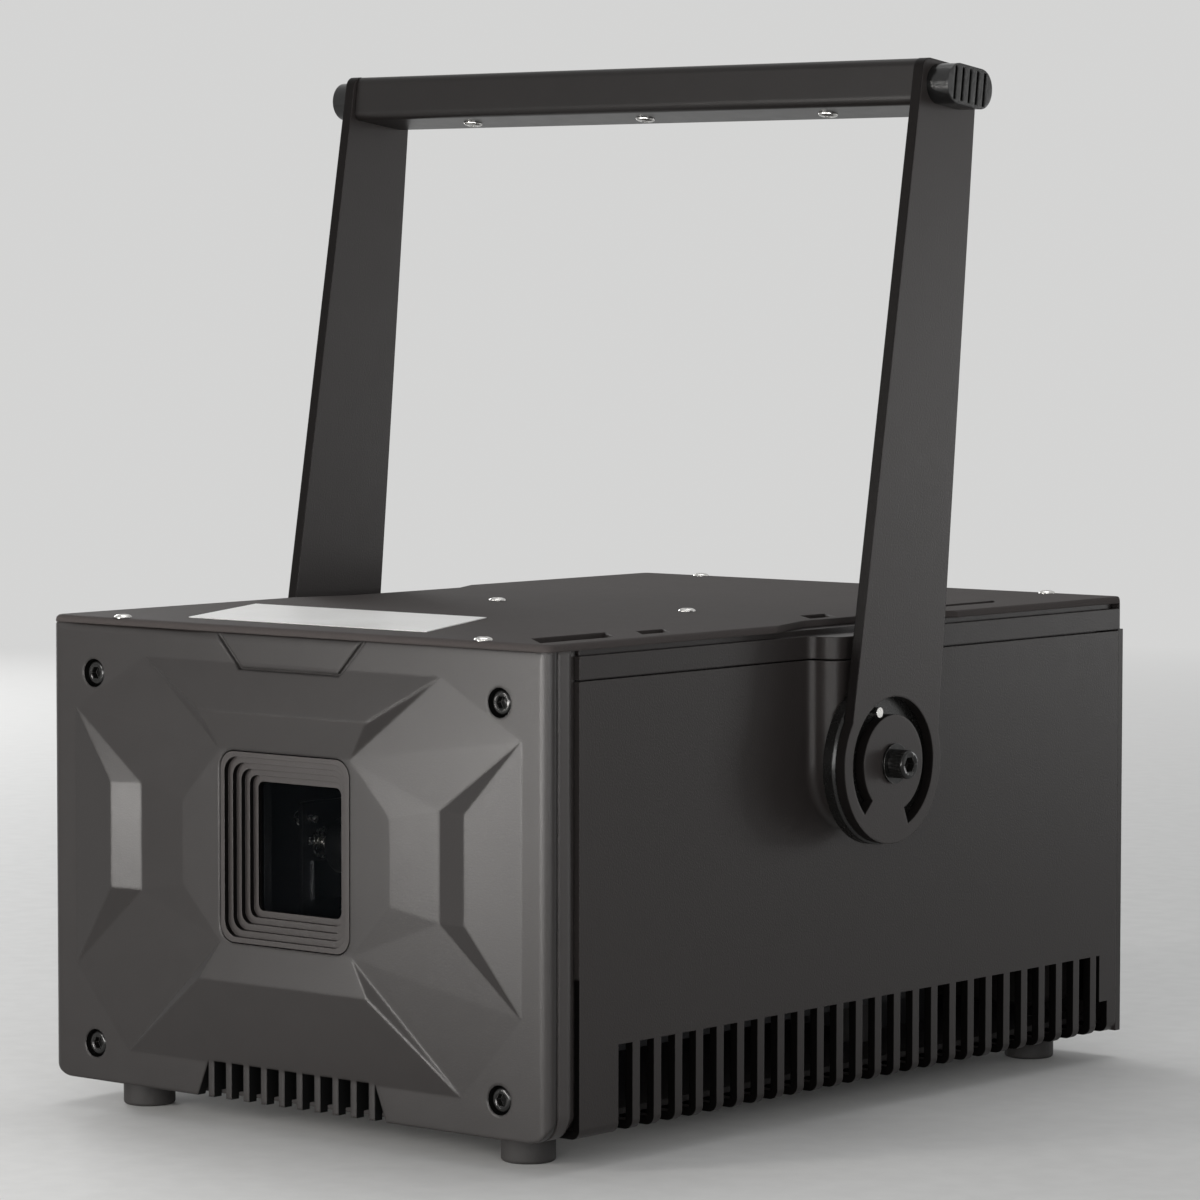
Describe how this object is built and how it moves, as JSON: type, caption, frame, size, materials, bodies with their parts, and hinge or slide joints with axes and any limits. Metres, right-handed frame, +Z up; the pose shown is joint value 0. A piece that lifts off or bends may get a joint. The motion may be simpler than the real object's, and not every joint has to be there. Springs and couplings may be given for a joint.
{
  "type": "laser show projector",
  "caption": "Stage laser projector: charcoal case with a crowned front round a stepped window, side cooling slots, and a tall tilting yoke with a flat-sided crossbar.",
  "frame": {"origin": "on the floor below the middle of the case, at the underside of the feet", "axes": "+Z up, -Y out of the window, +X to the right of someone facing the window"},
  "size_m": [0.29, 0.341, 0.3697],
  "materials": {
    "case_paint": "fine matt powder coat",
    "dark_paint": "matt powder coat in shadow",
    "yoke_paint": "fine matt powder coat",
    "bar_paint": "satin black",
    "boss_plastic": "matt black",
    "rubber": "matt",
    "bright_steel": "bright",
    "black_steel": "blackened",
    "glass": "clear, coated",
    "label": "blank sticker",
    "black_plastic": "moulded",
    "red_plastic": "moulded",
    "display": "gloss",
    "brass": "plated",
    "aluminium": "milled",
    "black_aluminium": "black anodised",
    "mirror": "polished",
    "board": "green laminate"
  },
  "bodies": {
    "case": {"base_plate": "dark_paint", "feet": "rubber", "foot_screws": "bright_steel", "side_panel_right": "case_paint", "side_panel_left": "case_paint", "upper_rim": "case_paint", "front_frame": "dark_paint", "front_panel": "case_paint", "front_screws": "black_steel", "window_baffle": "case_paint", "window_glass": "glass", "glass_frame": "black_aluminium", "top_cover": "case_paint", "cover_screws": "bright_steel", "blank_label": "label", "pivot_bosses": "boss_plastic", "pivot_bolts": "black_steel", "pivot_washers": "black_steel", "stop_pins": "bright_steel", "rear_panel": "case_paint", "rear_screws": "black_steel", "connector_bay": "dark_paint", "fan_frames": "black_plastic", "fan_guards": "bright_steel", "power_inlet": "black_plastic", "switch_housing": "black_plastic", "key_switch_body": "bright_steel", "data_sockets": "black_plastic", "control_sockets": "bright_steel", "network_socket": "bright_steel", "interlock_socket": "black_plastic", "contact_pins": "brass", "display_window": "display", "safety_eye": "bright_steel", "optical_deck": "aluminium", "deck_dampers": "rubber", "laser_modules": "black_aluminium", "mirror_mounts": "black_aluminium", "combining_mirrors": "mirror", "scanner_bracket": "black_aluminium", "scanner_motors": "aluminium", "adjusting_screws": "bright_steel", "adjusting_spring": "bright_steel", "circuit_boards": "board", "power_supply": "aluminium"},
    "yoke": {"yoke_arm_right": "yoke_paint", "yoke_arm_left": "yoke_paint", "crossbar": "bar_paint", "bar_end_caps": "black_plastic", "crossbar_screws": "bright_steel"},
    "fan_rotor_right_body": {"fan_rotor_right": "black_plastic"},
    "fan_rotor_left_body": {"fan_rotor_left": "black_plastic"},
    "power_rocker_body": {"power_rocker": "red_plastic"},
    "laser_key_body": {"laser_key": "bright_steel"},
    "menu_button_1_body": {"menu_button_1": "black_plastic"},
    "menu_button_2_body": {"menu_button_2": "black_plastic"},
    "menu_button_3_body": {"menu_button_3": "black_plastic"},
    "menu_button_4_body": {"menu_button_4": "black_plastic"},
    "scan_mirror_x_body": {"scan_mirror_x": "mirror"},
    "scan_mirror_y_body": {"scan_mirror_y": "mirror"}
  },
  "joints": [
    {"name": "yoke_tilt", "type": "hinge", "parent": "case", "child": "yoke", "pos_m": [0, -0.0055, 0.1253], "axis": [1, 0, 0], "range_deg": [-100, 175]},
    {"name": "fan_rotor_right_spin", "type": "hinge", "parent": "case", "child": "fan_rotor_right_body", "pos_m": [0.066, 0.151, 0.1269], "axis": [0, 1, 0], "continuous": true},
    {"name": "fan_rotor_left_spin", "type": "hinge", "parent": "case", "child": "fan_rotor_left_body", "pos_m": [-0.066, 0.151, 0.1269], "axis": [0, 1, 0], "continuous": true},
    {"name": "power_rocker_tilt", "type": "hinge", "parent": "case", "child": "power_rocker_body", "pos_m": [-0.028, 0.142, 0.0413], "axis": [1, 0, 0], "range_deg": [-20, 0]},
    {"name": "laser_key_turn", "type": "hinge", "parent": "case", "child": "laser_key_body", "pos_m": [-0.002, 0.146, 0.0413], "axis": [0, 1, 0], "range_deg": [0, 90]},
    {"name": "menu_button_1_press", "type": "slide", "parent": "case", "child": "menu_button_1_body", "axis": [0, -1, 0], "range_m": [0, 0.001], "stiffness_N_per_m": 400},
    {"name": "menu_button_2_press", "type": "slide", "parent": "case", "child": "menu_button_2_body", "axis": [0, -1, 0], "range_m": [0, 0.001], "stiffness_N_per_m": 400},
    {"name": "menu_button_3_press", "type": "slide", "parent": "case", "child": "menu_button_3_body", "axis": [0, -1, 0], "range_m": [0, 0.001], "stiffness_N_per_m": 400},
    {"name": "menu_button_4_press", "type": "slide", "parent": "case", "child": "menu_button_4_body", "axis": [0, -1, 0], "range_m": [0, 0.001], "stiffness_N_per_m": 400},
    {"name": "scan_x_turn", "type": "hinge", "parent": "case", "child": "scan_mirror_x_body", "pos_m": [0, -0.128, 0.0806], "axis": [0, 1, 0], "range_deg": [-12, 12]},
    {"name": "scan_y_turn", "type": "hinge", "parent": "case", "child": "scan_mirror_y_body", "pos_m": [0, -0.128, 0.0986], "axis": [1, 0, 0], "range_deg": [-12, 12]}
  ]
}
